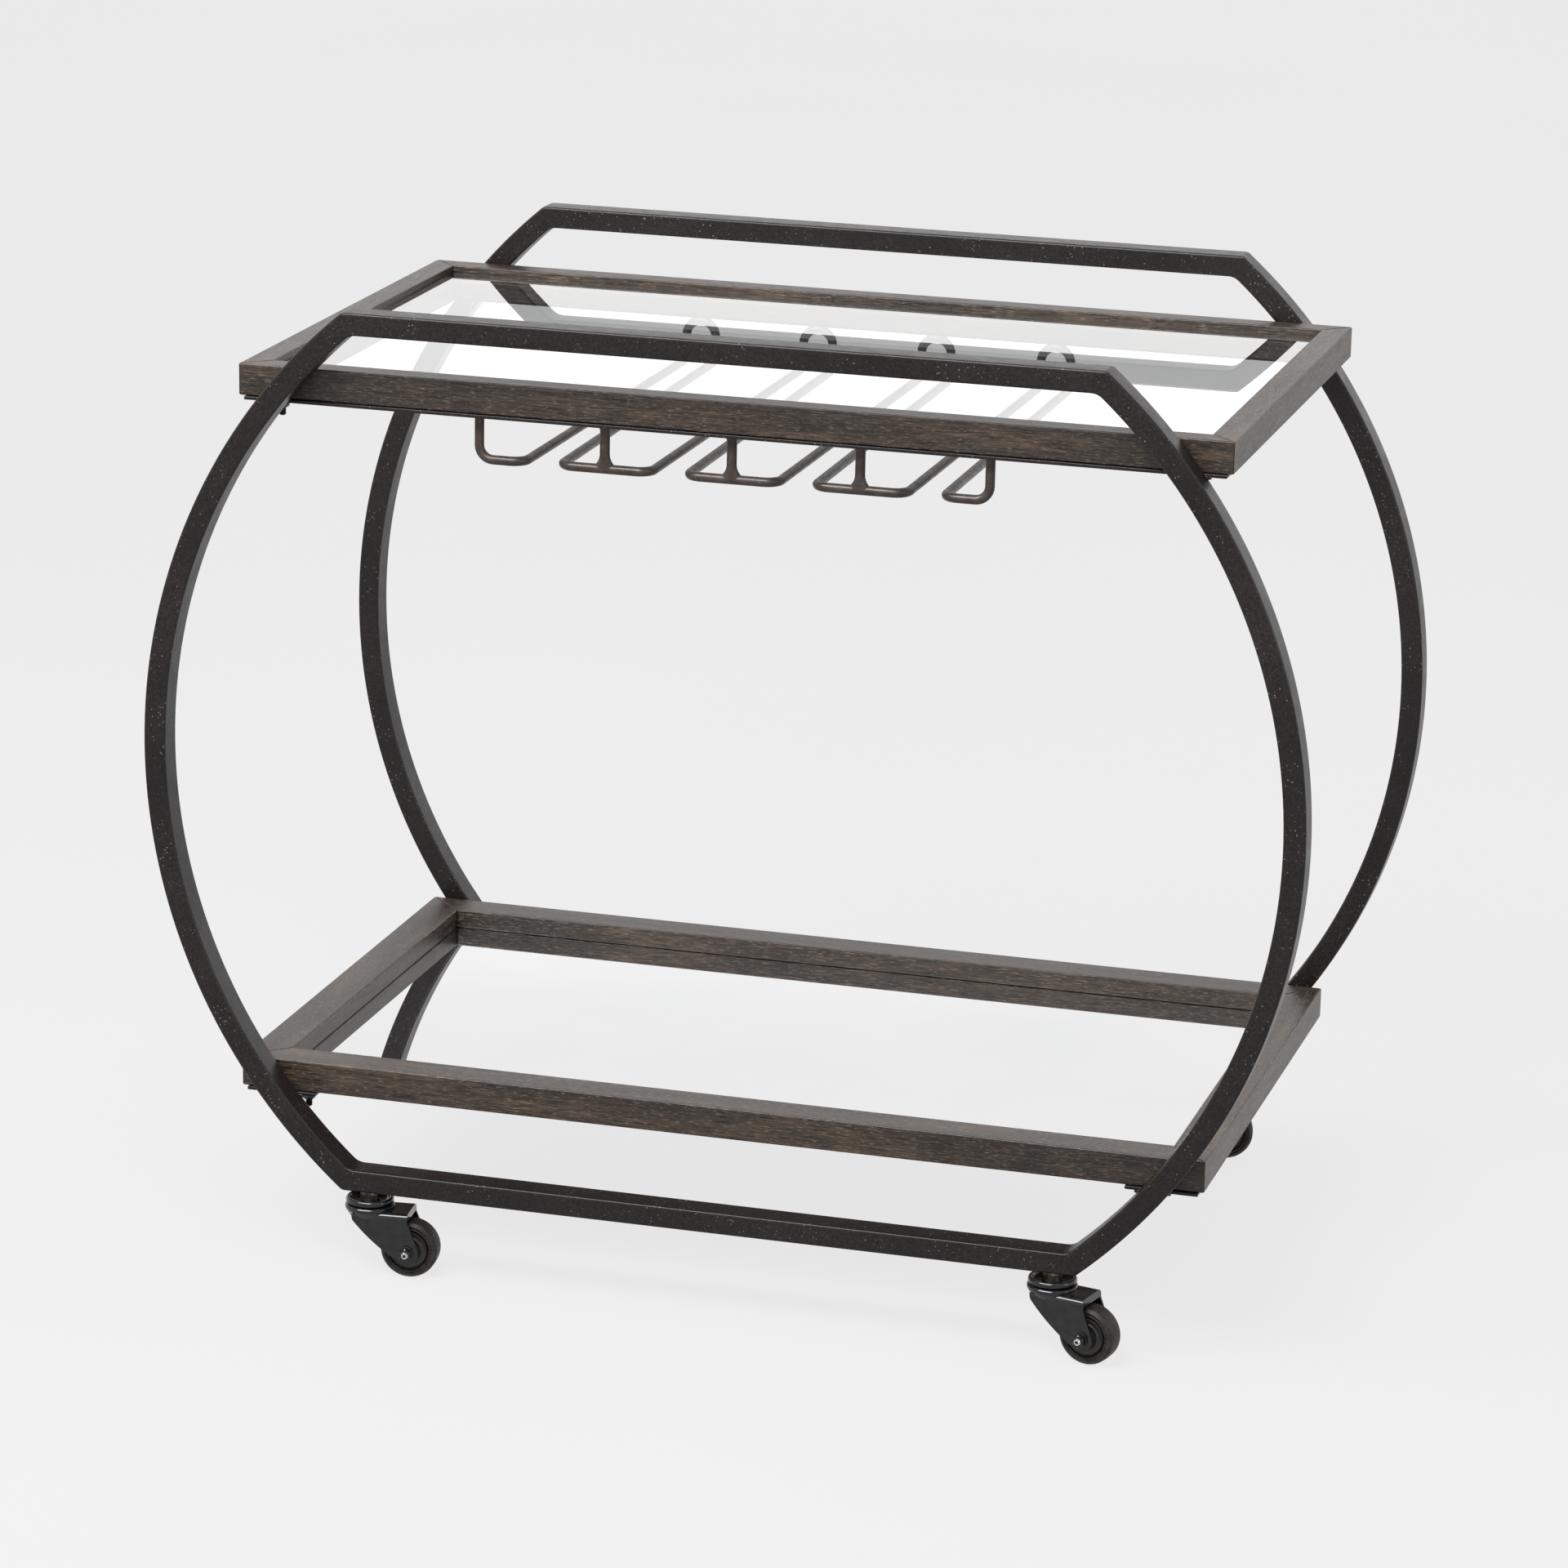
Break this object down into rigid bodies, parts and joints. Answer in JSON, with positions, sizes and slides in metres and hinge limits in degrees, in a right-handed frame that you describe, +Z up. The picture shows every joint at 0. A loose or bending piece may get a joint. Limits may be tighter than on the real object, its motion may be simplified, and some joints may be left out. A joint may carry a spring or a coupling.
{
  "type": "bar cart on wheels",
  "caption": "Serving cart on swivel casters: two round-sided steel frames carry a glass-topped tray, a mirrored lower shelf and a wire stemware rack.",
  "frame": {"origin": "on the floor, under the middle of the cart", "axes": "+X along the cart to the right, -Y to its front, where the glasses slide in, +Z up"},
  "size_m": [1, 0.5958, 0.839],
  "materials": {
    "frame_steel": "matt black powder coat with a fine texture",
    "wood": "dark grey-brown stain with open grain, satin",
    "glass": "clear, flat, polished",
    "mirror": "silvered flat glass",
    "backing_board": "thin brown hardboard behind the mirror",
    "rack_rod": "dark bronze lacquer, satin",
    "caster_steel": "gloss black plate",
    "zinc_plate": "bright zinc, slightly worn",
    "tyre": "hard dark brown-black tread, satin",
    "hub": "dark moulded wheel centre"
  },
  "bodies": {
    "cart": {"front_frame_right_bow": "frame_steel", "front_frame_left_bow": "frame_steel", "front_frame_top_rail": "frame_steel", "front_frame_bottom_rail": "frame_steel", "rear_frame_right_bow": "frame_steel", "rear_frame_left_bow": "frame_steel", "rear_frame_top_rail": "frame_steel", "rear_frame_bottom_rail": "frame_steel", "top_tray_front_rail": "wood", "top_tray_rear_rail": "wood", "top_tray_right_rail": "wood", "top_tray_left_rail": "wood", "lower_tray_front_rail": "wood", "lower_tray_rear_rail": "wood", "lower_tray_right_rail": "wood", "lower_tray_left_rail": "wood", "top_glass": "glass", "lower_mirror": "mirror", "mirror_backing": "backing_board", "front_support_strap": "frame_steel", "rear_support_strap": "frame_steel", "lower_bracket_front_left": "frame_steel", "lower_bracket_front_right": "frame_steel", "lower_bracket_rear_left": "frame_steel", "lower_bracket_rear_right": "frame_steel", "top_stud_front_left": "zinc_plate", "top_stud_front_right": "zinc_plate", "top_stud_rear_left": "zinc_plate", "top_stud_rear_right": "zinc_plate", "lower_stud_front_left": "zinc_plate", "lower_stud_front_right": "zinc_plate", "lower_stud_rear_left": "zinc_plate", "lower_stud_rear_right": "zinc_plate", "rack_left_end": "rack_rod", "rack_right_end": "rack_rod", "rack_loop_1": "rack_rod", "rack_loop_2": "rack_rod", "rack_loop_3": "rack_rod", "front_left_caster_stem": "caster_steel", "front_right_caster_stem": "caster_steel", "rear_left_caster_stem": "caster_steel", "rear_right_caster_stem": "caster_steel"},
    "front_left_swivel": {"front_left_caster_fork": "caster_steel", "front_left_caster_axle": "zinc_plate"},
    "front_left_wheel": {"front_left_wheel_tyre": "tyre", "front_left_wheel_hub": "hub"},
    "front_right_swivel": {"front_right_caster_fork": "caster_steel", "front_right_caster_axle": "zinc_plate"},
    "front_right_wheel": {"front_right_wheel_tyre": "tyre", "front_right_wheel_hub": "hub"},
    "rear_left_swivel": {"rear_left_caster_fork": "caster_steel", "rear_left_caster_axle": "zinc_plate"},
    "rear_left_wheel": {"rear_left_wheel_tyre": "tyre", "rear_left_wheel_hub": "hub"},
    "rear_right_swivel": {"rear_right_caster_fork": "caster_steel", "rear_right_caster_axle": "zinc_plate"},
    "rear_right_wheel": {"rear_right_wheel_tyre": "tyre", "rear_right_wheel_hub": "hub"}
  },
  "joints": [
    {"name": "front_left_swivel_turn", "type": "hinge", "parent": "cart", "child": "front_left_swivel", "pos_m": [-0.301, -0.265, 0.0595], "axis": [0, 0, 1], "continuous": true},
    {"name": "front_left_wheel_roll", "type": "hinge", "parent": "front_left_swivel", "child": "front_left_wheel", "pos_m": [-0.2652, -0.26124, 0.025], "axis": [-0.1045, 0.9945, 0], "continuous": true},
    {"name": "front_right_swivel_turn", "type": "hinge", "parent": "cart", "child": "front_right_swivel", "pos_m": [0.301, -0.265, 0.0595], "axis": [0, 0, 1], "continuous": true},
    {"name": "front_right_wheel_roll", "type": "hinge", "parent": "front_right_swivel", "child": "front_right_wheel", "pos_m": [0.33608, -0.2731, 0.025], "axis": [0.225, 0.9744, 0], "continuous": true},
    {"name": "rear_left_swivel_turn", "type": "hinge", "parent": "cart", "child": "rear_left_swivel", "pos_m": [-0.301, 0.265, 0.0595], "axis": [0, 0, 1], "continuous": true},
    {"name": "rear_left_wheel_roll", "type": "hinge", "parent": "rear_left_swivel", "child": "rear_left_wheel", "pos_m": [-0.2652, 0.26124, 0.025], "axis": [0.1045, 0.9945, 0], "continuous": true},
    {"name": "rear_right_swivel_turn", "type": "hinge", "parent": "cart", "child": "rear_right_swivel", "pos_m": [0.301, 0.265, 0.0595], "axis": [0, 0, 1], "continuous": true},
    {"name": "rear_right_wheel_roll", "type": "hinge", "parent": "rear_right_swivel", "child": "rear_right_wheel", "pos_m": [0.33608, 0.2731, 0.025], "axis": [-0.225, 0.9744, 0], "continuous": true}
  ]
}
